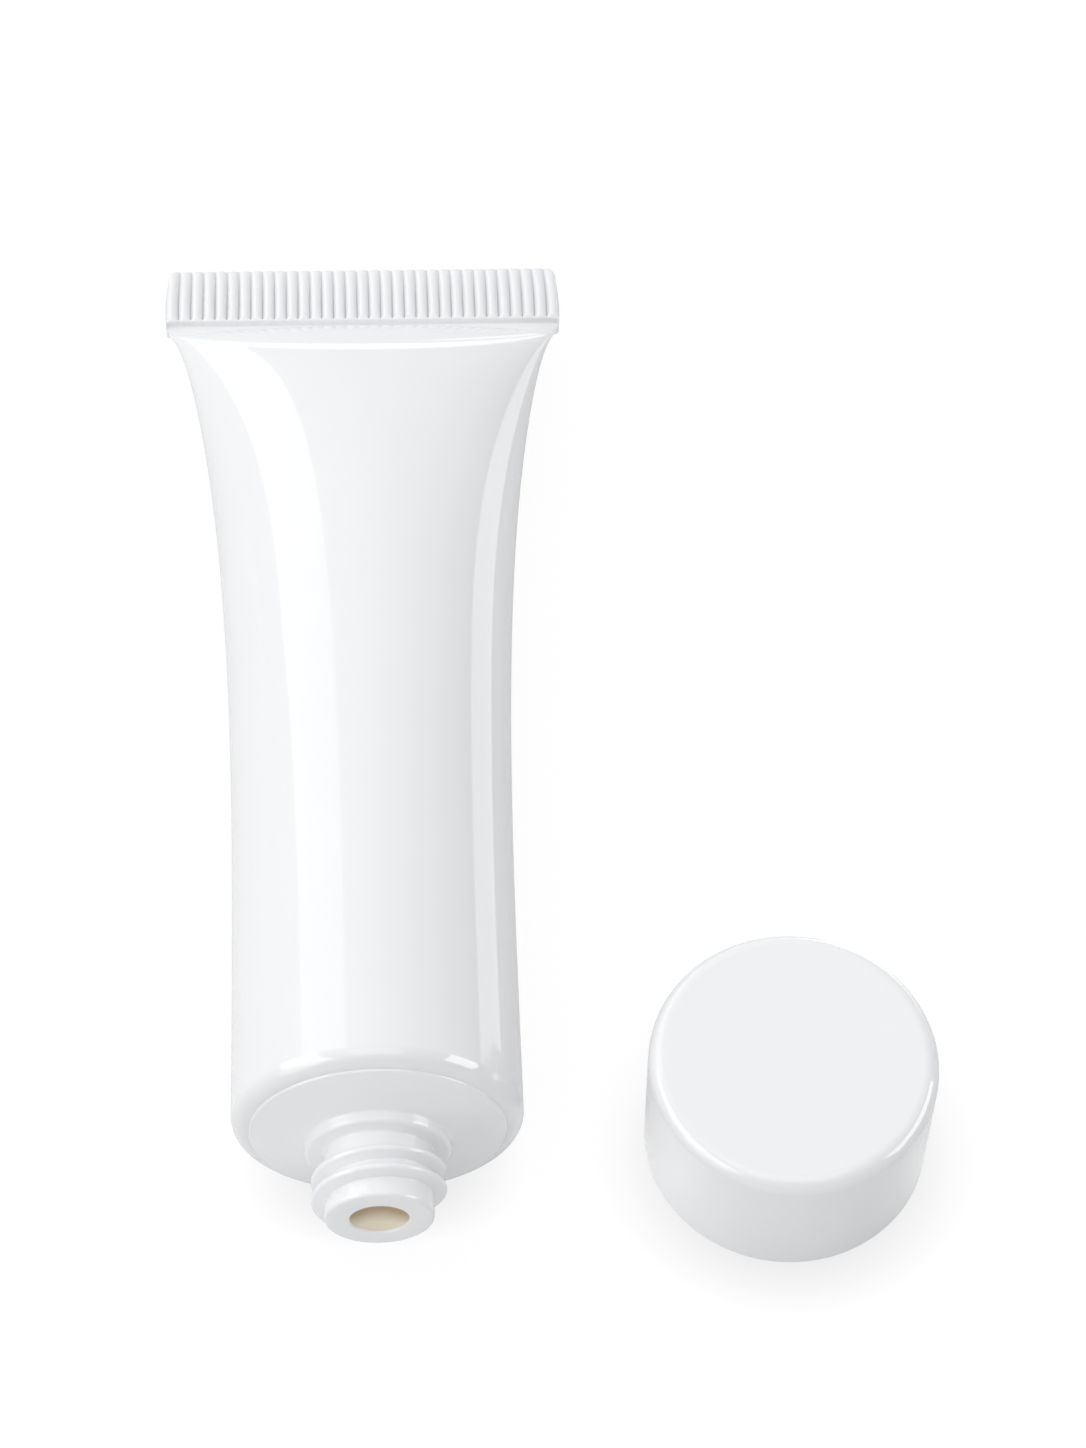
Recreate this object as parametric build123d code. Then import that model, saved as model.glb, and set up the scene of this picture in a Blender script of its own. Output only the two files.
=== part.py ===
from build123d import *
import os
from math import cos, pi, radians, sin, sqrt

# A squeeze tube of cosmetic cream, lying on its side, with its screw cap taken off and standing beside it.
# While it is built, the tube's axis runs along Y above x = 0, its neck points to -Y and its seal to +Y.
# The plane y = 0 is the rim, where the sleeve turns in over the shoulder. The round sleeve would reach down to
# z = 0, and the surface that it lies on, at z = resting_flat, presses it flat along its underside.
# The tube is rolled a little on its axis, as a tube that lies loose is. Sizes are in millimetres, angles in degrees.

# Sleeve
tube_diameter = 25.0
sleeve_wall = 0.5
sleeve_length = 91.5
collar_length = 6.0
rim_rounding = 1.45
lip_width = 0.05
flattening_power = 3.6
flattening_roundness = 0.62
narrowing_power = 2.8
narrowing_roundness = 0.44
resting_share = 0.5
resting_flat = 0.3
tube_roll = 1.9
section_steps = 16
weld_length = 0.6

# Crimped seal
seal_length = 7.7
seal_sink = 0.3
seal_band = 1.0
seal_thickness = 1.2
seal_height = 9.0
seal_corner = 1.0
seal_overhang = 0.1
seal_bulge = 0.15
rib_count = 33
rib_height = 0.5
ledge_length = 0.6
ledge_rounding = 0.45

# Head
skirt_length = 4.5
head_wall = 1.1
seam_proud = 0.2
seam_rounding = 0.08
shoulder_rise = 1.15
flange_diameter = 12.5
flange_thickness = 1.0
flange_rounding = 0.4
flange_root_rounding = 0.2
neck_diameter = 9.3
neck_length = 6.05
neck_rounding = 0.35
neck_root_rounding = 0.25
orifice_diameter = 5.0
orifice_rounding = 0.15
orifice_length = 1.5
neck_bore_diameter = 6.6
neck_bore_taper = 0.5

# Neck thread, right-hand
thread_diameter = 11.5
thread_pitch = 1.7
thread_turns = 2.0
thread_gap = 1.25
thread_root_width = 1.15
thread_crest_width = 0.5
thread_sink = 0.15

# Cream
cream_depth = 0.25
cream_hollow = 0.8

# Screw cap
cap_diameter = 25.0
cap_height = 14.5
cap_wall = 1.1
cap_top = 1.3
cap_edge_rounding = 1.4
cap_rim_rounding = 0.25
cap_corner_rounding = 0.6
socket_wall = 1.1
thread_clearance = 0.15
flange_clearance = 0.4
socket_step = 1.0
seal_ring_diameter = 8.4
seal_ring_width = 0.9
seal_ring_reach = 0.2
cap_gap = 10.8
cap_setback = 4.35

# Values worked out from the sizes above
tube_radius = tube_diameter / 2
sleeve_bore_radius = tube_radius - sleeve_wall
seam_radius = tube_radius - rim_rounding - lip_width
flattening_length = sleeve_length - collar_length
near_edge = sleeve_length - seal_sink
far_edge = sleeve_length + seal_length
flange_radius = flange_diameter / 2
flange_back = seam_proud + shoulder_rise
flange_front = flange_back + flange_thickness
neck_radius = neck_diameter / 2
nozzle_reach = flange_front + neck_length
orifice_radius = orifice_diameter / 2
orifice_end = nozzle_reach - orifice_length
neck_bore_radius = neck_bore_diameter / 2
skirt_bore_radius = sleeve_bore_radius - head_wall
thread_radius = thread_diameter / 2
cap_radius = cap_diameter / 2
cap_x = tube_radius + cap_gap + cap_radius


def ellipse_girth(half_width, half_thickness):
    """Length around an ellipse, by Ramanujan's formula."""
    product = (3 * half_width + half_thickness) * (half_width + 3 * half_thickness)
    return pi * (3 * (half_width + half_thickness) - sqrt(product))


def half_width_for(half_thickness):
    """Half width of a flattened section that keeps the girth of the round tube."""
    narrow = half_thickness
    wide = tube_diameter
    for _ in range(50):
        middle = (narrow + wide) / 2
        if ellipse_girth(middle, half_thickness) < pi * tube_diameter:
            narrow = middle
        else:
            wide = middle
    return (narrow + wide) / 2


def half_thickness_at(share, power=flattening_power, roundness=flattening_roundness):
    """Half thickness of the sleeve at a share of the way from its collar to its seal."""
    fullness = (1 - share**power) ** roundness
    return seal_thickness / 2 + (tube_radius - seal_thickness / 2) * fullness


def half_width_at(share):
    """Half width of the sleeve there: its sides draw in a little sooner than its faces swell."""
    return half_width_for(half_thickness_at(share, narrowing_power, narrowing_roundness))


def section_height_at(share):
    """Height of a section's centre: the underside lies flat for the resting share, then rises to the seal."""
    lift = max(0.0, (share - resting_share) / (1 - resting_share))
    ease = lift * lift * (3 - 2 * lift)
    drop_at_seal = (tube_radius - seal_height) / (tube_radius - seal_thickness / 2)
    drop = 1 - (1 - drop_at_seal) * ease
    return tube_radius - (tube_radius - half_thickness_at(share)) * drop


def sleeve_section(share, inset):
    """One flattened section of the sleeve, or of its hollow when inset by the wall."""
    half_thickness = half_thickness_at(share)
    half_width = half_width_at(share)
    centre = (0, collar_length + flattening_length * share, section_height_at(share))
    plane = Plane(origin=centre, x_dir=(1, 0, 0), z_dir=(0, 1, 0))
    return plane * Ellipse(half_width - inset, half_thickness - inset)


def flattened_form(inset, last_share):
    """The sleeve's taper from its round collar to its flat end, with sections closer towards that end."""
    steps = range(section_steps + 1)
    shares = [last_share * sin(pi / 2 * step / section_steps) for step in steps]
    return loft([sleeve_section(share, inset) for share in shares])


def turned(corners, axis):
    """A body turned about an axis from corners of its profile, each with its rounding."""
    points = [point for point, rounding in corners]
    roundings = [rounding for point, rounding in corners]
    profile = make_face(FilletPolyline(points, radius=roundings, close=True))
    return revolve(profile, axis=axis)


def turned_on_tube_axis(corners):
    return Pos(0, 0, tube_radius) * turned(corners, Axis.Y)


def sleeve_collar():
    """The round end of the sleeve, turned in over the shoulder."""
    return turned_on_tube_axis([
        ((seam_radius, 0), 0),
        ((tube_radius, 0), rim_rounding),
        ((tube_radius, collar_length), 0),
        ((sleeve_bore_radius, collar_length), 0),
        ((sleeve_bore_radius, sleeve_wall), max(rim_rounding - sleeve_wall, 0)),
        ((seam_radius, sleeve_wall), 0),
    ])


def seal_half_width():
    """Half width of the seal where its sides bulge most."""
    return half_width_for(seal_thickness / 2) + seal_overhang + seal_bulge


def ribbed_bar(width):
    """The seal's cross-section, ribbed above and below, drawn out along the tube."""
    pitch = width / rib_count
    groove = seal_thickness / 2
    left = -width / 2
    edges = []
    for side in (1, -1):
        for rib in range(rib_count):
            start = (left + rib * pitch, side * groove)
            crest = (left + (rib + 0.5) * pitch, side * (groove + rib_height))
            end = (left + (rib + 1) * pitch, side * groove)
            edges.append(ThreePointArc(start, crest, end))
        edges.append(Line((side * left, -groove), (side * left, groove)))
    plane = Plane(origin=(0, sleeve_length, seal_height), x_dir=(1, 0, 0), z_dir=(0, 1, 0))
    return extrude(plane * make_face(edges), seal_length)


def seal_plan():
    """Outline of the seal from above, with bulging sides and rounded corners at the cut edge."""
    half_width = seal_half_width() - seal_bulge
    middle = (near_edge + far_edge) / 2
    edges = []
    for side in (1, -1):
        near_corner = (side * half_width, near_edge)
        far_corner = (side * half_width, far_edge)
        edges.append(ThreePointArc(near_corner, (side * (half_width + seal_bulge), middle), far_corner))
    edges.append(Line((-half_width, near_edge), (half_width, near_edge)))
    edges.append(Line((-half_width, far_edge), (half_width, far_edge)))
    plan = make_face(edges)
    far_corners = plan.vertices().sort_by(Axis.Y)[-2:]
    return fillet(far_corners, seal_corner)


def crimped_seal():
    """The pressed seal: a flat band, then a rounded ledge and ribs that run from it to the cut edge."""
    width = 2 * seal_half_width()
    groove = seal_thickness / 2
    crest = groove + rib_height
    ledge_start = sleeve_length + seal_band
    side_outline = FilletPolyline(
        (near_edge, -groove),
        (ledge_start, -groove),
        (ledge_start, -crest),
        (far_edge, -crest),
        (far_edge, crest),
        (ledge_start, crest),
        (ledge_start, groove),
        (near_edge, groove),
        radius=(0, 0, ledge_rounding, 0, 0, ledge_rounding, 0, 0),
        close=True,
    )
    side_form = extrude(Plane.YZ * make_face(side_outline), width, both=True)
    plan_form = extrude(seal_plan(), 2 * crest, both=True)
    plain_length = seal_sink + seal_band + ledge_length
    ledge = Pos(0, near_edge + plain_length / 2, 0) * Box(width, plain_length, 2 * crest)
    raised = Pos(0, 0, seal_height)
    return (ribbed_bar(width) + raised * ledge) & (raised * side_form) & (raised * plan_form)


def rolled(tube_piece):
    """A piece of the tube, rolled on the tube's axis."""
    return Pos(0, 0, tube_radius) * Rot(Y=tube_roll) * Pos(0, 0, -tube_radius) * tube_piece


def sleeve_hollow():
    return flattened_form(sleeve_wall, 1 - weld_length / flattening_length)


def make_tube_sleeve():
    """The sleeve with its collar and seal, pressed flat where it rests."""
    sleeve = sleeve_collar() + (flattened_form(0, 1) - sleeve_hollow()) + crimped_seal()
    return split(rolled(sleeve), bisect_by=Plane.XY.offset(resting_flat), keep=Keep.TOP)


def shoulder_at(radius):
    """Place along Y of the shoulder cone's outer face at a radius."""
    slope = shoulder_rise / (seam_radius - flange_radius)
    return -seam_proud - slope * (seam_radius - radius)


def head_bore():
    """Corners of the head's inside, from the orifice to the open end of its skirt."""
    return [
        (orifice_radius, -orifice_end),
        (neck_bore_radius, neck_bore_taper - orifice_end),
        (neck_bore_radius, shoulder_at(neck_bore_radius) + head_wall),
        (skirt_bore_radius, shoulder_at(skirt_bore_radius) + head_wall),
        (skirt_bore_radius, skirt_length),
    ]


def neck_thread():
    """The ridge wound around the neck, starting and ending on its underside."""
    path = Helix(thread_pitch, thread_pitch * thread_turns, neck_radius)
    outline = Polyline(
        (-thread_sink, -thread_root_width / 2),
        (0, -thread_root_width / 2),
        (thread_radius - neck_radius, -thread_crest_width / 2),
        (thread_radius - neck_radius, thread_crest_width / 2),
        (0, thread_root_width / 2),
        (-thread_sink, thread_root_width / 2),
        close=True,
    )
    plane = Plane(origin=path @ 0, x_dir=(1, 0, 0), z_dir=path % 0)
    ridge = sweep(plane * make_face(outline), path, is_frenet=True)
    start = flange_front + thread_gap
    return Pos(0, -start, tube_radius) * Rot(X=90) * Rot(Z=-90) * ridge


def make_tube_head():
    outside = [
        ((sleeve_bore_radius, skirt_length), 0),
        ((sleeve_bore_radius, sleeve_wall), max(rim_rounding - sleeve_wall, 0)),
        ((seam_radius, sleeve_wall), 0),
        ((seam_radius, -seam_proud), seam_rounding),
        ((flange_radius, -flange_back), flange_root_rounding),
        ((flange_radius, -flange_front), flange_rounding),
        ((neck_radius, -flange_front), neck_root_rounding),
        ((neck_radius, -nozzle_reach), neck_rounding),
        ((orifice_radius, -nozzle_reach), orifice_rounding),
    ]
    inside = [(point, 0) for point in head_bore()]
    return rolled(turned_on_tube_axis(outside + inside) + neck_thread())


def make_cream_fill():
    """Cream in the sleeve and the neck, up to a little behind the lip of the orifice, where it is dished."""
    front = cream_depth - nozzle_reach
    outline = [(0, front + cream_hollow), (orifice_radius, front)] + head_bore()
    outline += [(sleeve_bore_radius, skirt_length), (sleeve_bore_radius, collar_length), (0, collar_length)]
    return rolled(turned_on_tube_axis([(point, 0) for point in outline]) + sleeve_hollow())


def make_screw_cap():
    """The cap as it stands on its rim: skirt, socket for the neck thread and ring that closes the orifice."""
    ceiling = cap_height - cap_top
    skirt_radius = cap_radius - cap_wall
    socket_radius = thread_radius + thread_clearance
    socket_outer_radius = socket_radius + socket_wall
    socket_start = flange_front + flange_clearance
    socket_end = nozzle_reach - seal_ring_reach
    ring_outer_radius = seal_ring_diameter / 2
    ring_inner_radius = ring_outer_radius - seal_ring_width
    cap = turned([
        ((cap_radius, 0), cap_rim_rounding),
        ((cap_radius, cap_height), cap_edge_rounding),
        ((0, cap_height), 0),
        ((0, ceiling), 0),
        ((ring_inner_radius, ceiling), 0),
        ((ring_inner_radius, nozzle_reach), 0),
        ((ring_outer_radius, nozzle_reach), 0),
        ((ring_outer_radius, ceiling), 0),
        ((socket_radius - socket_step, ceiling), 0),
        ((socket_radius - socket_step, socket_end), 0),
        ((socket_radius, socket_end), 0),
        ((socket_radius, socket_start), 0),
        ((socket_outer_radius, socket_start), 0),
        ((socket_outer_radius, ceiling), 0),
        ((skirt_radius, ceiling), cap_corner_rounding),
        ((skirt_radius, 0), 0),
    ], Axis.Y)
    return Pos(cap_x, cap_setback, resting_flat) * Rot(X=90) * cap


def main():
    nodes = {
        "tube_sleeve": make_tube_sleeve(),
        "tube_head": make_tube_head(),
        "cream_fill": make_cream_fill(),
        "screw_cap": make_screw_cap(),
    }
    seal_drop = tube_radius - seal_height + seal_thickness / 2
    seal_reach = seal_half_width() * cos(radians(tube_roll)) + seal_drop * sin(radians(tube_roll))
    centre_x = (cap_x + cap_radius - seal_reach) / 2
    centre_y = (far_edge - nozzle_reach) / 2
    os.makedirs("parts", exist_ok=True)
    for name, node in nodes.items():
        export_step(Pos(-centre_x, -centre_y, -resting_flat) * node, f"parts/{name}.step")


main()
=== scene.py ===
from math import cos, pi, radians, sin, sqrt, tau

import bmesh
import bpy
from mathutils import Matrix, Vector


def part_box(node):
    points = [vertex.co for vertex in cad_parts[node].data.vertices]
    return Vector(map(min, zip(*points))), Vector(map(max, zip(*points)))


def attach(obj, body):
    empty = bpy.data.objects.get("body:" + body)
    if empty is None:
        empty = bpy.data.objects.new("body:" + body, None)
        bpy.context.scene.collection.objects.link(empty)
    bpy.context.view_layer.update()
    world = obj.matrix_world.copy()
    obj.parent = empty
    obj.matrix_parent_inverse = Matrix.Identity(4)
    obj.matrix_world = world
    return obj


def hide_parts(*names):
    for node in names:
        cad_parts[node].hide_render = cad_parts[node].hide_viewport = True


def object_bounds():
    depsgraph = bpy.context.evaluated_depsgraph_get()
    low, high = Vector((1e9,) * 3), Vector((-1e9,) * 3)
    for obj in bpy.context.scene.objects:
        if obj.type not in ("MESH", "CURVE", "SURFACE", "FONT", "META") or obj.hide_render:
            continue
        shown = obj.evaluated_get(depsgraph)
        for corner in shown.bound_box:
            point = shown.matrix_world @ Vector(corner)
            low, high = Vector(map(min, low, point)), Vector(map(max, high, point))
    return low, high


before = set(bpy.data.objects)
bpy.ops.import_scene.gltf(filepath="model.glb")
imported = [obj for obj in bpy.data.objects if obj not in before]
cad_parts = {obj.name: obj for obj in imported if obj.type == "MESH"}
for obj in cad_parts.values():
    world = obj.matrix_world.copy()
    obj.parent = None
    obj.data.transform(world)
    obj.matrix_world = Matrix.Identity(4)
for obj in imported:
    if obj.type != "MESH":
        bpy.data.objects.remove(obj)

solid_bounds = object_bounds()

# A squeeze tube of cosmetic cream lying on its side, with its screw cap taken off and standing beside it.
# Shapes are drawn in millimetres with the sizes of the part's solids, with finer detail at the seal, the seam
# and the threads, and are then placed in the frame in metres.
# The tube's pieces are drawn about the Y axis, with the rim of the sleeve at y = 0 and the neck towards -Y.
# The cap is drawn about the Y axis too, with its open rim at y = 0, and then stood up.
MM = 0.001

# Sleeve
tube_diameter = 25.0
sleeve_wall = 0.5
sleeve_length = 91.5
collar_length = 6.0
rim_rounding = 1.45
lip_width = 0.05
flattening_power = 3.6
flattening_roundness = 0.62
narrowing_power = 2.8
narrowing_roundness = 0.44
resting_share = 0.5
resting_flat = 0.3
weld_length = 0.6
tube_roll = radians(1.9)

# Crimped seal
seal_length = 7.7
seal_band = 1.0
seal_thickness = 1.2
seal_height = 9.0
seal_corner = 1.0
seal_overhang = 0.25
bulge_power = 6
rib_count = 33
rib_height = 0.5
groove_depth = 0.6
rib_fullness = 2.6
ledge_rounding = 0.5
groove_runout = 0.7
groove_at_cut = 0.3
cut_fade_power = 4
seal_sink = 0.6
sunk_inset = 0.015
seal_lift = 0.06
fillet_rise = 0.52
fillet_power = 1.5
# Width of the painted shade along the foot of the ledge, below the ribs
foot_width = 0.3

# Head
skirt_length = 4.5
head_wall = 1.1
seam_proud = 0.2
seam_rounding = 0.15
shoulder_rise = 1.15
flange_diameter = 12.5
flange_thickness = 1.0
flange_rounding = 0.4
flange_root_rounding = 0.2
neck_diameter = 9.3
neck_length = 6.05
neck_rounding = 0.35
neck_root_rounding = 0.25
orifice_diameter = 5.0
orifice_rounding = 0.15
orifice_length = 1.5
neck_bore_diameter = 6.6
neck_bore_taper = 0.5

# Threads, right-hand
thread_diameter = 11.5
thread_pitch = 1.7
thread_turns = 2.0
thread_gap = 1.25
thread_root_width = 1.15
thread_crest_width = 0.5
thread_crest_rounding = 0.25
thread_sink = 0.15
thread_taper_turns = 0.12
thread_end_share = 0.02

# Screw cap
cap_diameter = 25.0
cap_height = 14.5
cap_wall = 1.1
cap_top = 1.3
cap_edge_rounding = 1.4
cap_rim_rounding = 0.25
cap_corner_rounding = 0.6
socket_wall = 1.1
thread_clearance = 0.15
flange_clearance = 0.4
socket_step = 1.0
seal_ring_diameter = 8.4
seal_ring_width = 0.9
seal_ring_reach = 0.2
cap_thread_depth = 0.7

# Fineness of the meshes
ring_steps = 200
outer_sections = 160
inner_sections = 24
rounding_steps = 7
columns_per_rib = 12
seal_rows = 56
thread_steps_per_turn = 96
thread_crest_steps = 3
girth_halvings = 50
sharp_angle = radians(40)
merge_distance = 0.0005

# Values worked out from the sizes above
tube_radius = tube_diameter / 2
sleeve_bore_radius = tube_radius - sleeve_wall
seam_radius = tube_radius - rim_rounding - lip_width
flattening_length = sleeve_length - collar_length
flange_radius = flange_diameter / 2
flange_back = seam_proud + shoulder_rise
flange_front = flange_back + flange_thickness
neck_radius = neck_diameter / 2
nozzle_reach = flange_front + neck_length
orifice_radius = orifice_diameter / 2
orifice_end = nozzle_reach - orifice_length
neck_bore_radius = neck_bore_diameter / 2
skirt_bore_radius = sleeve_bore_radius - head_wall
thread_radius = thread_diameter / 2
cap_radius = cap_diameter / 2

# Places in the frame, in metres
sleeve_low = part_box("tube_sleeve")[0]
head_low, head_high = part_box("tube_head")
cap_low, cap_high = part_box("screw_cap")
head_middle = (Vector(head_low) + Vector(head_high)) / 2
cap_middle = (Vector(cap_low) + Vector(cap_high)) / 2
tube_place = Matrix.Translation((head_middle.x, sleeve_low[1], head_middle.z))
cap_foot = Vector((cap_middle.x, cap_middle.y, cap_low[2]))
cap_place = Matrix.Translation(cap_foot) @ Matrix.Rotation(radians(90), 4, "X")

# Camera, fitted to the photograph, with its place in millimetres from the foot of the rim
camera_from_rim = Vector((8.218, -135.647, 274.502))
camera_elevation = radians(56)
camera_azimuth = radians(2.472)
camera_lens = 85.53
camera_sensor = 36.0
camera_clip = 0.01

# Plastics: their pale and deep tints, and the roughness of their smooth and dull patches
sleeve_tints = (0.885, 0.89, 0.90), (0.87, 0.875, 0.885)
sleeve_gloss = 0.045, 0.07
# Painted shade: the colour given to the seal's grooves and to the foot of its ledge, where they would lie in
# shade
painted_shade_tint = 0.78, 0.785, 0.80
head_tints = (0.92, 0.925, 0.935), (0.905, 0.91, 0.92)
cap_tints = (0.885, 0.89, 0.90), (0.87, 0.875, 0.885)
moulded_gloss = 0.06, 0.10
waviness = 0.02
wave_depth = 0.1 * MM
plastic_ior = 1.5

# Cream, with its pale and deep colours: the deep one is painted shade towards the top of the orifice and the
# pale one painted light towards its bottom, with a little random unevenness between them
cream_pale = 0.84, 0.75, 0.60
cream_deep = 0.40, 0.27, 0.13
cream_unevenness = 0.2
cream_roughness = 0.35
cream_waviness = 0.3
cream_wave_depth = 0.2 * MM

# Noise in the materials, in patterns per metre, and the range that its values are spread over
tint_noise = 70
gloss_noise = 240
wave_noise = 900
cream_tint_noise = 420
cream_wave_noise = 500
noise_low = 0.3
noise_high = 0.7

# Floor, with the brightness that the camera sees close to what stands on it and in the open
floor_half_size = 3
lit_floor = 0.82
shadowed_floor = 0.08
shade_reach = 5 * MM
shade_lean = 0, 0.7, 0.7
floor_at_foot = 0.72
floor_in_open = 0.93

# Sky and lamps, with directions as azimuth and elevation in degrees, and lamps as shares of their distance
brightest_sky = 110, 58
sky_colour = 0.985, 0.99, 1.0
dimmest_nearness = -0.5
dim_light = 0.22
bright_light = 0.94
lamp_distance = 1.5
left_softbox_direction = 128, 34
left_softbox_outline = (0.42, -0.64), (0.50, -0.58), (-0.04, 0.53), (-0.40, 0.02), (-0.19, -0.35)
left_softbox_strength = 2.0
front_softbox_direction = 215, 15
front_softbox_size = 0.6, 0.35
front_softbox_strength = 2.45
top_softbox_direction = -90, 72
top_softbox_size = 0.75, 0.75
top_softbox_strength = 2.0

# Lamps that only the gloss shows
front_left_direction = 192, 33
front_left_size = 1.4, 0.6
front_left_strength = 4.0
right_softbox_direction = -8, 20
right_softbox_size = 0.8, 0.45
right_softbox_strength = 5.5
back_strip_direction = 90, 2
back_strip_size = 1.2, 0.07
back_strip_strength = 2.4

# A card and soft glows just above the floor, that only the gloss shows, in metres
card_height = 0.3 * MM
tube_card_outline = (0.031, -0.022), (0.6, 0.28), (0.6, 0.6), (0.031, 0.6)
tube_card_strength = 2.0
left_glow_place = 0.008, -0.048
left_glow_radius = 0.011
left_glow_strength = 1.35
right_glow_place = 0.0355, -0.0465
right_glow_radius = 0.009
right_glow_strength = 0.95


def finished(name, shape, place, material, node):
    """Makes a drawn shape a piece of the object in place of a solid, which it hides, with the material given.
    """
    bmesh.ops.remove_doubles(shape, verts=shape.verts, dist=merge_distance)
    bmesh.ops.transform(shape, matrix=place @ Matrix.Scale(MM, 4), verts=shape.verts)
    bmesh.ops.recalc_face_normals(shape, faces=shape.faces)
    for face in shape.faces:
        face.smooth = True
    mesh = bpy.data.meshes.new(name)
    shape.to_mesh(mesh)
    shape.free()
    mesh.set_sharp_from_angle(angle=sharp_angle)
    mesh.materials.append(material)
    piece = bpy.data.objects.new(name, mesh)
    bpy.context.scene.collection.objects.link(piece)
    normals = piece.modifiers.new("even normals", "WEIGHTED_NORMAL")
    normals.keep_sharp = True
    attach(piece, "root")
    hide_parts(node)


def drawn_through(shape, edges, placements):
    """Extrudes a ring of edges so that it stands at each placement in turn, and closes its end."""
    last = Matrix.Identity(4)
    for placement in placements:
        grown = bmesh.ops.extrude_edge_only(shape, edges=edges)["geom"]
        edges = [item for item in grown if isinstance(item, bmesh.types.BMEdge)]
        points = [item for item in grown if isinstance(item, bmesh.types.BMVert)]
        bmesh.ops.transform(shape, matrix=placement @ last.inverted(), verts=points)
        last = placement
    bmesh.ops.edgeloop_fill(shape, edges=edges)


def turned(corners, closed):
    """A body turned about the Y axis from corners of its profile, each (radius, along, rounding)."""
    shape = bmesh.new()
    points = [shape.verts.new((radius, along, 0)) for radius, along, rounding in corners]
    ends = points[1:] + points[:1] if closed else points[1:]
    for start, end in zip(points, ends):
        shape.edges.new((start, end))
    for point, (radius, along, rounding) in zip(points, corners):
        if rounding:
            bmesh.ops.bevel(
                shape, geom=[point], offset=rounding, offset_type="OFFSET", affect="VERTICES",
                segments=rounding_steps, profile=0.5, material=-1,
            )
    bmesh.ops.spin(
        shape, geom=shape.verts[:] + shape.edges[:], cent=(0, 0, 0), axis=(0, 1, 0),
        angle=tau, steps=ring_steps, use_merge=True,
    )
    return shape


def joined(shape, added):
    """Adds one drawn shape to another."""
    mesh = bpy.data.meshes.new("added")
    added.to_mesh(mesh)
    added.free()
    shape.from_mesh(mesh)
    bpy.data.meshes.remove(mesh)
    return shape


def ellipse_girth(half_width, half_thickness):
    """Length around an ellipse, by Ramanujan's formula."""
    product = (3 * half_width + half_thickness) * (half_width + 3 * half_thickness)
    return pi * (3 * (half_width + half_thickness) - sqrt(product))


def half_width_for(half_thickness):
    """Half width of a flattened section that keeps the girth of the round tube."""
    narrow = half_thickness
    wide = tube_diameter
    for _ in range(girth_halvings):
        middle = (narrow + wide) / 2
        if ellipse_girth(middle, half_thickness) < pi * tube_diameter:
            narrow = middle
        else:
            wide = middle
    return (narrow + wide) / 2


def half_thickness_at(share, power=flattening_power, roundness=flattening_roundness):
    """Half thickness of the sleeve at a share of the way from its collar to its seal."""
    fullness = (1 - share**power) ** roundness
    return seal_thickness / 2 + (tube_radius - seal_thickness / 2) * fullness


def half_width_at(share):
    """Half width of the sleeve there: its sides draw in a little sooner than its faces swell."""
    return half_width_for(half_thickness_at(share, narrowing_power, narrowing_roundness))


def section_drop_at(share):
    """Height of a section's centre against the tube's axis: the sleeve lies flat, then rises to its seal."""
    lift = max(0.0, (share - resting_share) / (1 - resting_share))
    ease = lift * lift * (3 - 2 * lift)
    drop_at_seal = (tube_radius - seal_height) / (tube_radius - seal_thickness / 2)
    return -(tube_radius - half_thickness_at(share)) * (1 - (1 - drop_at_seal) * ease)


def ring(half_width, half_thickness, along, height=0.0):
    """Placement of a unit circle as a ring of the sleeve."""
    return Matrix.Translation((0, along, height)) @ Matrix.Diagonal((half_width, 1, half_thickness, 1))


def tapered_rings(inset, last_share, sections):
    """Rings from the round collar to the flat end, closer towards that end."""
    rings = []
    for step in range(sections + 1):
        share = last_share * sin(pi / 2 * step / sections)
        half_thickness = half_thickness_at(share)
        half_width = half_width_at(share)
        along = collar_length + flattening_length * share
        rings.append(ring(half_width - inset, half_thickness - inset, along, section_drop_at(share)))
    return rings


def rim_rings(rounding, edge_radius, edge):
    """Rings around the rim, from its inner edge to the full radius of the wall."""
    rings = []
    for step in range(rounding_steps * 2 + 1):
        turn = pi / 2 * step / (rounding_steps * 2)
        radius = edge_radius - rounding + rounding * sin(turn)
        rings.append(ring(radius, radius, edge + rounding - rounding * cos(turn)))
    return rings


def draw_sleeve():
    """The sleeve's wall, drawn from the end of its hollow to the rim and back along the outside."""
    shape = bmesh.new()
    # The 'pressed' layer carries the seal's painted shade; the sleeve's own wall has none
    shape.verts.layers.float.new("pressed")
    bmesh.ops.create_circle(
        shape, cap_ends=True, radius=1, segments=ring_steps, matrix=Matrix.Rotation(radians(90), 4, "X"),
    )
    inner = tapered_rings(sleeve_wall, 1 - weld_length / flattening_length, inner_sections)
    inner_rim = rim_rings(rim_rounding - sleeve_wall, sleeve_bore_radius, sleeve_wall)
    lip = [ring(seam_radius, seam_radius, sleeve_wall), ring(seam_radius, seam_radius, 0)]
    outer_rim = rim_rings(rim_rounding, tube_radius, 0)
    outer = tapered_rings(0, 1, outer_sections)
    placements = inner[::-1] + inner_rim[::-1] + lip + outer_rim + outer
    bmesh.ops.transform(shape, matrix=placements[0], verts=shape.verts)
    first = placements[0].inverted()
    drawn_through(shape, shape.edges[:], [placement @ first for placement in placements[1:]])
    return shape


def groove_at(across, along):
    """How far the seal is pressed in between two ribs, from 0 on a crest to 1 in the middle of a groove."""
    from_crest = abs((across + 1) * rib_count / 2 % 1 * 2 - 1)
    runout = min(max((along - seal_band - ledge_rounding / 2) / groove_runout, 0), 1)
    return from_crest**rib_fullness * sin(pi / 2 * runout)


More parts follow.
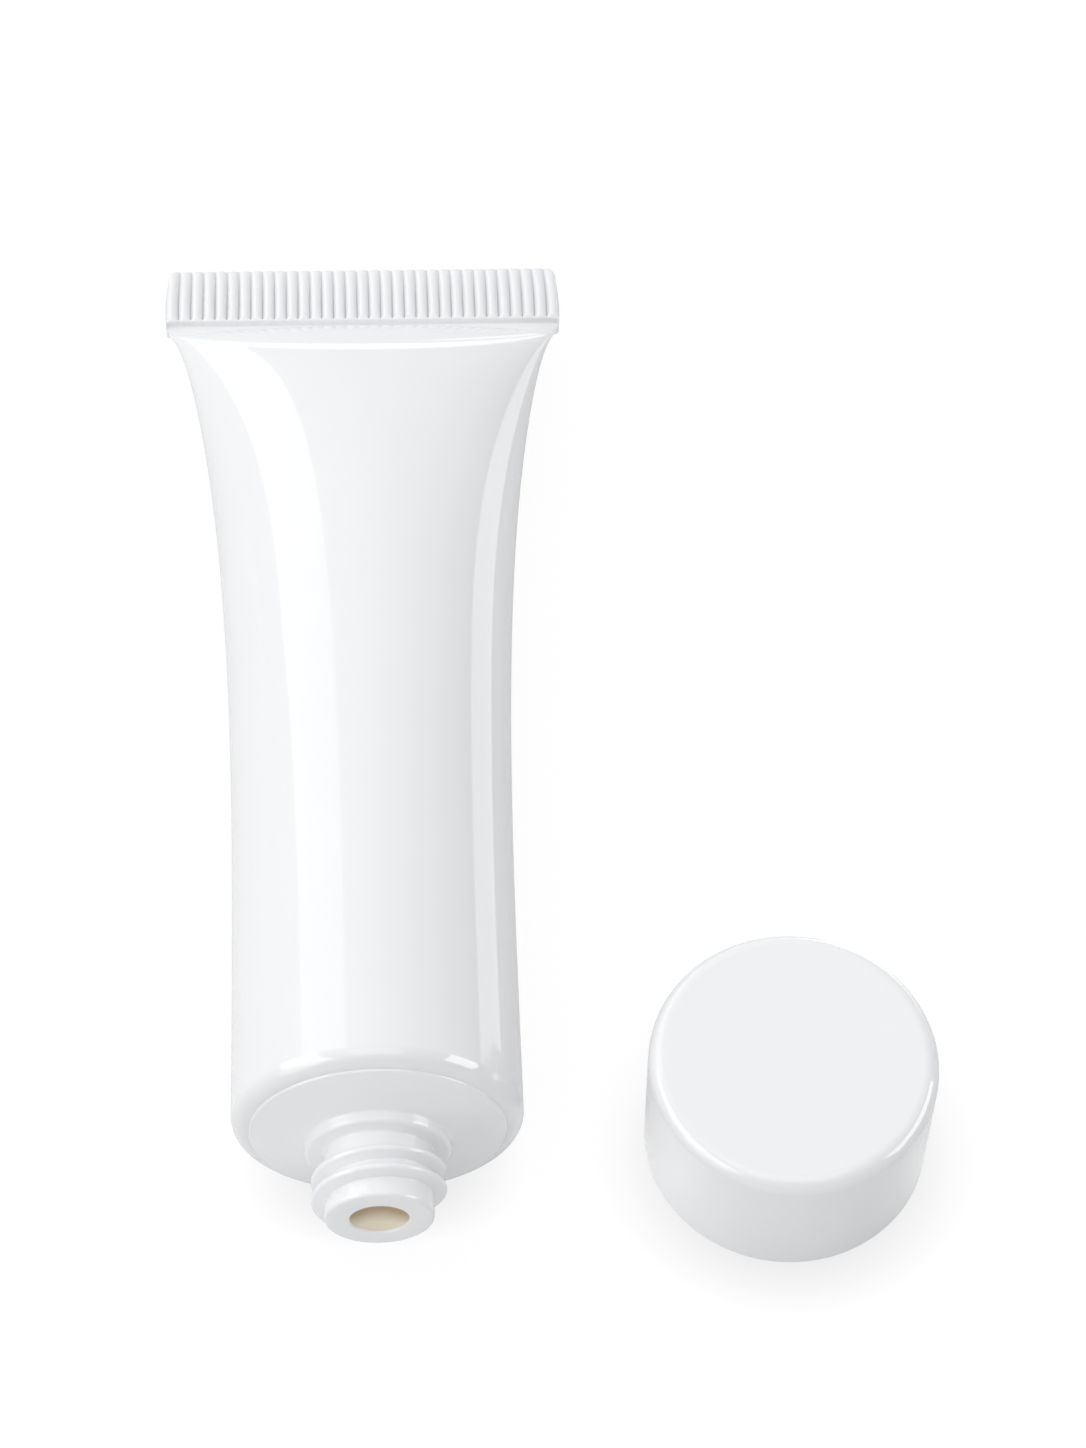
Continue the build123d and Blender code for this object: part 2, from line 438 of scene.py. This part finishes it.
def seal_surface(across, along):
    """Height of the seal's ribbed face above its middle, at a share of its half width and along it."""
    ledge = min(max((along - seal_band) / ledge_rounding, 0), 1)
    rise = sqrt(1 - (1 - ledge) ** 2)
    shallower = 1 - (1 - groove_at_cut) * (max(along, 0) / seal_length) ** cut_fade_power
    oval = sqrt(max(0, 1 - across**2))
    band = oval + (1 - oval) * min(max(along, 0) / seal_band, 1)
    fillet = fillet_rise * max(seal_band - along, 0) ** fillet_power * oval
    face = seal_thickness / 2 * band + seal_lift + fillet
    return face + rib_height * rise - groove_depth * groove_at(across, along) * shallower


def draw_seal():
    """The crimped seal: a flat band, then ribs pressed into a raised ledge and open at the cut edge."""
    half_width = half_width_for(seal_thickness / 2)
    shape = bmesh.new()
    bmesh.ops.create_grid(shape, x_segments=rib_count * columns_per_rib, y_segments=seal_rows, size=1)
    shade = shape.verts.layers.float.new("pressed")
    for point in shape.verts:
        across = point.co.x
        share = (point.co.y + 1) / 2
        bulging = half_width + seal_overhang * sin(pi * share) * across**bulge_power
        past_corner = max(0, abs(across) * bulging - (bulging - seal_corner)) / seal_corner
        corner_cut = seal_corner * (1 - sqrt(max(0, 1 - past_corner**2)))
        along = share * (seal_length + seal_sink) - seal_sink
        foot = max(0, 1 - abs(along - seal_band) / foot_width)
        outside = min(max(along / seal_band, 0), 1)
        width = bulging if along >= 0 else half_width_at(1 + along / flattening_length)
        reach = width * (1 - sunk_inset * (1 - outside))
        # Painted shade: the 'pressed' layer darkens the grooves and the foot of the ledge
        point[shade] = max(groove_at(across, along) ** 2, foot)
        point.co = (across * reach, along - share * corner_cut, seal_surface(across, along))
    under = bmesh.ops.duplicate(shape, geom=shape.verts[:] + shape.edges[:] + shape.faces[:])["geom"]
    under_points = [item for item in under if isinstance(item, bmesh.types.BMVert)]
    bmesh.ops.scale(shape, vec=(1, 1, -1), verts=under_points)
    bmesh.ops.bridge_loops(shape, edges=[edge for edge in shape.edges if edge.is_boundary])
    bmesh.ops.translate(shape, vec=(0, sleeve_length, seal_height - tube_radius), verts=shape.verts)
    return shape


def make_sleeve(material):
    """The sleeve with its seal, rolled a little on its axis and pressed flat where it rests."""
    shape = joined(draw_sleeve(), draw_seal())
    bmesh.ops.transform(shape, matrix=Matrix.Rotation(tube_roll, 4, "Y"), verts=shape.verts)
    for point in shape.verts:
        point.co.z = max(point.co.z, resting_flat - tube_radius)
    finished("sleeve", shape, tube_place, material, "tube_sleeve")


def shoulder_at(radius):
    """Place along Y of the shoulder cone's outer face at a radius."""
    slope = shoulder_rise / (seam_radius - flange_radius)
    return -seam_proud - slope * (seam_radius - radius)


def draw_thread(root_radius, depth, first_angle, start, turn_sense):
    """A ridge wound about the Y axis, tapered at both ends, with a negative depth for one inside a socket."""
    shape = bmesh.new()
    sink = thread_sink if depth > 0 else -thread_sink
    outline = (
        (-sink, -thread_root_width / 2),
        (depth, -thread_crest_width / 2),
        (depth, thread_crest_width / 2),
        (-sink, thread_root_width / 2),
    )
    points = [shape.verts.new((across, along, 0)) for across, along in outline]
    shape.faces.new(points)
    bmesh.ops.bevel(
        shape, geom=points[1:3], offset=thread_crest_rounding, offset_type="OFFSET", affect="VERTICES",
        segments=thread_crest_steps, profile=0.5, material=-1,
    )
    placements = []
    steps = round(thread_turns * thread_steps_per_turn)
    for step in range(steps + 1):
        turn = step / thread_steps_per_turn
        from_end = min(turn, thread_turns - turn)
        size = sqrt(min(1, thread_end_share + from_end / thread_taper_turns))
        place = Matrix.Rotation(first_angle + turn_sense * tau * turn, 4, "Y")
        place @= Matrix.Translation((root_radius, start + turn_sense * thread_pitch * turn, 0))
        placements.append(place @ Matrix.Diagonal((size, size, size, 1)))
    bmesh.ops.transform(shape, matrix=placements[0], verts=shape.verts)
    first = placements[0].inverted()
    drawn_through(shape, shape.edges[:], [placement @ first for placement in placements[1:]])
    return shape


def make_head(material):
    """Shoulder, flange and neck in one turned body, with the thread wound around the neck."""
    shape = turned([
        (sleeve_bore_radius, skirt_length, 0),
        (sleeve_bore_radius, sleeve_wall, rim_rounding - sleeve_wall),
        (seam_radius, sleeve_wall, 0),
        (seam_radius, -seam_proud, seam_rounding),
        (flange_radius, -flange_back, flange_root_rounding),
        (flange_radius, -flange_front, flange_rounding),
        (neck_radius, -flange_front, neck_root_rounding),
        (neck_radius, -nozzle_reach, neck_rounding),
        (orifice_radius, -nozzle_reach, orifice_rounding),
        (orifice_radius, -orifice_end, 0),
        (neck_bore_radius, neck_bore_taper - orifice_end, 0),
        (neck_bore_radius, shoulder_at(neck_bore_radius) + head_wall, 0),
        (skirt_bore_radius, shoulder_at(skirt_bore_radius) + head_wall, 0),
        (skirt_bore_radius, skirt_length, 0),
    ], closed=True)
    thread = draw_thread(neck_radius, thread_radius - neck_radius, pi / 2, -flange_front - thread_gap, -1)
    shape = joined(shape, thread)
    bmesh.ops.transform(shape, matrix=Matrix.Rotation(tube_roll, 4, "Y"), verts=shape.verts)
    finished("head", shape, tube_place, material, "tube_head")


def make_cap(material):
    """The cap with its skirt, its threaded socket for the neck and the ring that closes the orifice."""
    ceiling = cap_height - cap_top
    skirt_radius = cap_radius - cap_wall
    socket_radius = thread_radius + thread_clearance
    socket_outer_radius = socket_radius + socket_wall
    socket_start = flange_front + flange_clearance
    socket_end = nozzle_reach - seal_ring_reach
    ring_outer_radius = seal_ring_diameter / 2
    ring_inner_radius = ring_outer_radius - seal_ring_width
    shape = turned([
        (0, ceiling, 0),
        (ring_inner_radius, ceiling, 0),
        (ring_inner_radius, nozzle_reach, 0),
        (ring_outer_radius, nozzle_reach, 0),
        (ring_outer_radius, ceiling, 0),
        (socket_radius - socket_step, ceiling, 0),
        (socket_radius - socket_step, socket_end, 0),
        (socket_radius, socket_end, 0),
        (socket_radius, socket_start, 0),
        (socket_outer_radius, socket_start, 0),
        (socket_outer_radius, ceiling, 0),
        (skirt_radius, ceiling, cap_corner_rounding),
        (skirt_radius, 0, 0),
        (cap_radius, 0, cap_rim_rounding),
        (cap_radius, cap_height, cap_edge_rounding),
        (0, cap_height, 0),
    ], closed=False)
    thread = draw_thread(socket_radius, -cap_thread_depth, 0, socket_start + thread_root_width, 1)
    finished("cap", joined(shape, thread), cap_place, material, "screw_cap")


def material_with_shader(name):
    """A new material, with its node tree's nodes, links and shader."""
    material = bpy.data.materials.new(name)
    material.use_nodes = True
    tree = material.node_tree
    return material, tree.nodes, tree.links, tree.nodes["Principled BSDF"]


def noise(nodes, links, scale, detail):
    """A noise pattern on the object's own coordinates, in patterns per metre."""
    place = nodes.new("ShaderNodeTexCoord")
    pattern = nodes.new("ShaderNodeTexNoise")
    pattern.inputs["Scale"].default_value = scale
    pattern.inputs["Detail"].default_value = detail
    links.new(place.outputs["Object"], pattern.inputs["Vector"])
    return pattern.outputs["Fac"]


def blend_colours(nodes, links, factor, first, second, target):
    """Runs a colour from one value to another along a pattern."""
    ramp = nodes.new("ShaderNodeValToRGB")
    ramp.color_ramp.elements[0].position = noise_low
    ramp.color_ramp.elements[0].color = (*first, 1)
    ramp.color_ramp.elements[1].position = noise_high
    ramp.color_ramp.elements[1].color = (*second, 1)
    links.new(factor, ramp.inputs["Fac"])
    links.new(ramp.outputs["Color"], target)


def blend_values(nodes, links, factor, first, second, target):
    """Runs a number from one value to another along a pattern."""
    spread = nodes.new("ShaderNodeMapRange")
    spread.inputs["From Min"].default_value = noise_low
    spread.inputs["From Max"].default_value = noise_high
    spread.inputs["To Min"].default_value = first
    spread.inputs["To Max"].default_value = second
    links.new(factor, spread.inputs["Value"])
    links.new(spread.outputs["Result"], target)


def moulded_plastic(name, tints, gloss):
    """White plastic with a slight drift of tint and gloss, and the faint waviness of a moulding."""
    material, nodes, links, shader = material_with_shader(name)
    pale, deep = tints
    tint_drift = noise(nodes, links, tint_noise, 3)
    blend_colours(nodes, links, tint_drift, deep, pale, shader.inputs["Base Color"])
    smooth, dull = gloss
    gloss_drift = noise(nodes, links, gloss_noise, 4)
    blend_values(nodes, links, gloss_drift, smooth, dull, shader.inputs["Roughness"])
    bump = nodes.new("ShaderNodeBump")
    bump.inputs["Strength"].default_value = waviness
    bump.inputs["Distance"].default_value = wave_depth
    links.new(noise(nodes, links, wave_noise, 2), bump.inputs["Height"])
    links.new(bump.outputs["Normal"], shader.inputs["Normal"])
    shader.inputs["IOR"].default_value = plastic_ior
    return material


def add_painted_groove_shade(material, colour):
    """Paints shade into a plastic's colour where the 'pressed' layer is set: in the seal's grooves and along
    the foot of its ledge.
    """
    nodes = material.node_tree.nodes
    links = material.node_tree.links
    target = nodes["Principled BSDF"].inputs["Base Color"]
    pressed = nodes.new("ShaderNodeAttribute")
    pressed.attribute_name = "pressed"
    mixed = nodes.new("ShaderNodeMix")
    mixed.data_type = "RGBA"
    links.new(pressed.outputs["Fac"], mixed.inputs["Factor"])
    links.new(target.links[0].from_socket, mixed.inputs["A"])
    mixed.inputs["B"].default_value = (*colour, 1)
    links.new(mixed.outputs["Result"], target)
    return material


def soft_cream(name):
    """Beige cream with a slight random unevenness of tint, darker towards the top of the orifice and paler
    towards its lower side: painted shade under the lip and painted light where light falls on it.
    """
    material, nodes, links, shader = material_with_shader(name)
    place = nodes.new("ShaderNodeTexCoord")
    split = nodes.new("ShaderNodeSeparateXYZ")
    links.new(place.outputs["Object"], split.inputs["Vector"])
    # Painted shade and light: the colour runs from deep at the top of the orifice, shaded by the lip, to pale
    # at its bottom, where light falls
    height = nodes.new("ShaderNodeMapRange")
    height.inputs["From Min"].default_value = head_middle.z - orifice_radius * MM
    height.inputs["From Max"].default_value = head_middle.z + orifice_radius * MM
    links.new(split.outputs["Z"], height.inputs["Value"])
    uneven_and_painted_shade = nodes.new("ShaderNodeMath")
    uneven_and_painted_shade.operation = "MULTIPLY_ADD"
    uneven_and_painted_shade.inputs[1].default_value = cream_unevenness
    links.new(noise(nodes, links, cream_tint_noise, 3), uneven_and_painted_shade.inputs[0])
    links.new(height.outputs["Result"], uneven_and_painted_shade.inputs[2])
    blend_colours(nodes, links, uneven_and_painted_shade.outputs["Value"], cream_pale, cream_deep, shader.inputs["Base Color"])
    bump = nodes.new("ShaderNodeBump")
    bump.inputs["Strength"].default_value = cream_waviness
    bump.inputs["Distance"].default_value = cream_wave_depth
    links.new(noise(nodes, links, cream_wave_noise, 2), bump.inputs["Height"])
    links.new(bump.outputs["Normal"], shader.inputs["Normal"])
    shader.inputs["Roughness"].default_value = cream_roughness
    return material


def paint_cream(material):
    """Gives the solid of the cream its material."""
    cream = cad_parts["cream_fill"]
    cream.data.materials.clear()
    cream.data.materials.append(material)


def floor_material():
    """Floor that the camera sees as a white backdrop, with soft shade close around what stands on it."""
    material = bpy.data.materials.new("white floor")
    material.use_nodes = True
    nodes = material.node_tree.nodes
    links = material.node_tree.links
    nodes.remove(nodes["Principled BSDF"])
    lit = nodes.new("ShaderNodeBsdfDiffuse")
    lit.inputs["Color"].default_value = (lit_floor, lit_floor, lit_floor, 1)
    shadowed = nodes.new("ShaderNodeBsdfDiffuse")
    shadowed.inputs["Color"].default_value = (shadowed_floor, shadowed_floor, shadowed_floor, 1)
    openness = nodes.new("ShaderNodeAmbientOcclusion")
    openness.inputs["Distance"].default_value = shade_reach
    leaning = nodes.new("ShaderNodeNormal")
    leaning.outputs["Normal"].default_value = shade_lean
    links.new(leaning.outputs["Normal"], openness.inputs["Normal"])
    spread = nodes.new("ShaderNodeMapRange")
    spread.inputs["To Min"].default_value = floor_at_foot
    spread.inputs["To Max"].default_value = floor_in_open
    links.new(openness.outputs["AO"], spread.inputs["Value"])
    glow = nodes.new("ShaderNodeEmission")
    links.new(spread.outputs["Result"], glow.inputs["Strength"])
    seen = nodes.new("ShaderNodeAddShader")
    links.new(shadowed.outputs[0], seen.inputs[0])
    links.new(glow.outputs[0], seen.inputs[1])
    path = nodes.new("ShaderNodeLightPath")
    chosen = nodes.new("ShaderNodeMixShader")
    links.new(path.outputs["Is Camera Ray"], chosen.inputs["Fac"])
    links.new(lit.outputs[0], chosen.inputs[1])
    links.new(seen.outputs[0], chosen.inputs[2])
    links.new(chosen.outputs[0], nodes["Material Output"].inputs["Surface"])
    return material


def make_floor():
    shape = bmesh.new()
    bmesh.ops.create_grid(shape, x_segments=1, y_segments=1, size=floor_half_size)
    mesh = bpy.data.meshes.new("floor")
    shape.to_mesh(mesh)
    shape.free()
    mesh.materials.append(floor_material())
    floor = bpy.data.objects.new("floor", mesh)
    floor.location.z = solid_bounds[0][2]
    bpy.context.scene.collection.objects.link(floor)


def direction(azimuth, elevation):
    """Unit vector towards an azimuth, from +X to +Y, and an elevation, both in degrees."""
    level = cos(radians(elevation))
    return Vector((
        level * cos(radians(azimuth)),
        level * sin(radians(azimuth)),
        sin(radians(elevation)),
    ))


def make_world():
    """Soft light from all around, brightest from above, behind and a little to the left."""
    world = bpy.data.worlds.new("studio")
    bpy.context.scene.world = world
    world.use_nodes = True
    nodes = world.node_tree.nodes
    links = world.node_tree.links
    background = nodes["Background"]
    background.inputs["Color"].default_value = (*sky_colour, 1)
    outwards = nodes.new("ShaderNodeTexCoord")
    nearness = nodes.new("ShaderNodeVectorMath")
    nearness.operation = "DOT_PRODUCT"
    nearness.inputs[1].default_value = direction(*brightest_sky)
    links.new(outwards.outputs["Generated"], nearness.inputs[0])
    brightness = nodes.new("ShaderNodeMapRange")
    brightness.inputs["From Min"].default_value = dimmest_nearness
    brightness.inputs["To Min"].default_value = dim_light
    brightness.inputs["To Max"].default_value = bright_light
    links.new(nearness.outputs["Value"], brightness.inputs["Value"])
    links.new(brightness.outputs["Result"], background.inputs["Strength"])


def glowing_material(name, strength):
    material = bpy.data.materials.new(name)
    material.use_nodes = True
    nodes = material.node_tree.nodes
    nodes.remove(nodes["Principled BSDF"])
    glow = nodes.new("ShaderNodeEmission")
    glow.inputs["Strength"].default_value = strength
    material.node_tree.links.new(glow.outputs[0], nodes["Material Output"].inputs["Surface"])
    return material


def glowing_panel(name, outline, strength):
    """A flat shape that gives light, drawn in its own plane in metres."""
    shape = bmesh.new()
    shape.faces.new([shape.verts.new((across, up, 0)) for across, up in outline])
    mesh = bpy.data.meshes.new(name)
    shape.to_mesh(mesh)
    shape.free()
    mesh.materials.append(glowing_material(name, strength))
    panel = bpy.data.objects.new(name, mesh)
    bpy.context.scene.collection.objects.link(panel)
    return panel


def rectangle(width, height):
    """Corners of a rectangle about its middle."""
    right = width / 2
    top = height / 2
    return (-right, -top), (right, -top), (right, top), (-right, top)


def make_softbox(name, lamp_direction, outline, strength):
    """A flat lamp that faces the tube, its outline given across and up as shares of its distance."""
    aim = Vector((head_middle.x, 0, 2 * head_middle.z))
    towards = direction(*lamp_direction)
    corners = [(across * lamp_distance, up * lamp_distance) for across, up in outline]
    lamp = glowing_panel(name, corners, strength)
    lamp.location = aim + towards * lamp_distance
    lamp.rotation_euler = towards.to_track_quat("-Z", "Y").to_euler()
    return lamp


def seen_in_gloss_only(panel):
    """Hides a lamp from all but the reflections in glossy surfaces."""
    panel.visible_camera = False
    panel.visible_diffuse = False
    panel.visible_transmission = False
    panel.visible_shadow = False


def fade_out(panel, radius):
    """Lets a panel's light fade to nothing from its middle outwards."""
    nodes = panel.data.materials[0].node_tree.nodes
    links = panel.data.materials[0].node_tree.links
    place = nodes.new("ShaderNodeTexCoord")
    mapping = nodes.new("ShaderNodeMapping")
    mapping.inputs["Scale"].default_value = (1 / radius, 1 / radius, 1 / radius)
    links.new(place.outputs["Object"], mapping.inputs["Vector"])
    nearness = nodes.new("ShaderNodeTexGradient")
    nearness.gradient_type = "SPHERICAL"
    links.new(mapping.outputs["Vector"], nearness.inputs["Vector"])
    clear = nodes.new("ShaderNodeBsdfTransparent")
    faded = nodes.new("ShaderNodeMixShader")
    links.new(nearness.outputs["Fac"], faded.inputs["Fac"])
    links.new(clear.outputs[0], faded.inputs[1])
    links.new(nodes["Emission"].outputs[0], faded.inputs[2])
    links.new(faded.outputs[0], nodes["Material Output"].inputs["Surface"])


def make_floor_glow(name, place, radius, strength):
    """A soft patch of bright floor beside the cap, that only the gloss shows."""
    glow = glowing_panel(name, rectangle(2 * radius, 2 * radius), strength)
    glow.location = (*place, solid_bounds[0][2] + card_height)
    fade_out(glow, radius)
    seen_in_gloss_only(glow)


def make_card(name, outline, strength):
    """A bright card on the floor, that only the gloss shows."""
    card = glowing_panel(name, outline, strength)
    card.location.z = solid_bounds[0][2] + card_height
    seen_in_gloss_only(card)


def make_soft_lamps():
    """The lamps that light the object."""
    front = rectangle(*front_softbox_size)
    top = rectangle(*top_softbox_size)
    make_softbox("left softbox", left_softbox_direction, left_softbox_outline, left_softbox_strength)
    make_softbox("front softbox", front_softbox_direction, front, front_softbox_strength)
    make_softbox("top softbox", top_softbox_direction, top, top_softbox_strength)


def make_gloss_lamps():
    """The lamps, the card and the glows that place the highlights."""
    front_left = rectangle(*front_left_size)
    right = rectangle(*right_softbox_size)
    strip = rectangle(*back_strip_size)
    lamps = (
        make_softbox("front left softbox", front_left_direction, front_left, front_left_strength),
        make_softbox("right softbox", right_softbox_direction, right, right_softbox_strength),
        make_softbox("back strip", back_strip_direction, strip, back_strip_strength),
    )
    for lamp in lamps:
        seen_in_gloss_only(lamp)
    make_card("tube card", tube_card_outline, tube_card_strength)
    make_floor_glow("left floor glow", left_glow_place, left_glow_radius, left_glow_strength)
    make_floor_glow("right floor glow", right_glow_place, right_glow_radius, right_glow_strength)


def make_camera():
    camera = bpy.data.cameras.new("camera")
    camera.sensor_fit = "VERTICAL"
    camera.sensor_height = camera_sensor
    camera.lens = camera_lens
    camera.clip_start = camera_clip
    viewer = bpy.data.objects.new("camera", camera)
    forward = Vector((
        sin(camera_azimuth) * cos(camera_elevation),
        cos(camera_azimuth) * cos(camera_elevation),
        -sin(camera_elevation),
    ))
    viewer.location = Vector((head_middle.x, sleeve_low[1], sleeve_low[2])) + camera_from_rim * MM
    viewer.rotation_euler = forward.to_track_quat("-Z", "Y").to_euler()
    bpy.context.scene.collection.objects.link(viewer)
    bpy.context.scene.camera = viewer


make_camera()
make_world()
make_soft_lamps()
make_gloss_lamps()
make_floor()
# The sleeve's plastic gets painted shade in the seal's grooves and under its ledge
make_sleeve(add_painted_groove_shade(moulded_plastic("sleeve plastic", sleeve_tints, sleeve_gloss), painted_shade_tint))
make_head(moulded_plastic("head plastic", head_tints, moulded_gloss))
make_cap(moulded_plastic("cap plastic", cap_tints, moulded_gloss))
paint_cream(soft_cream("cream"))
bpy.context.scene.view_settings.view_transform = "Standard"
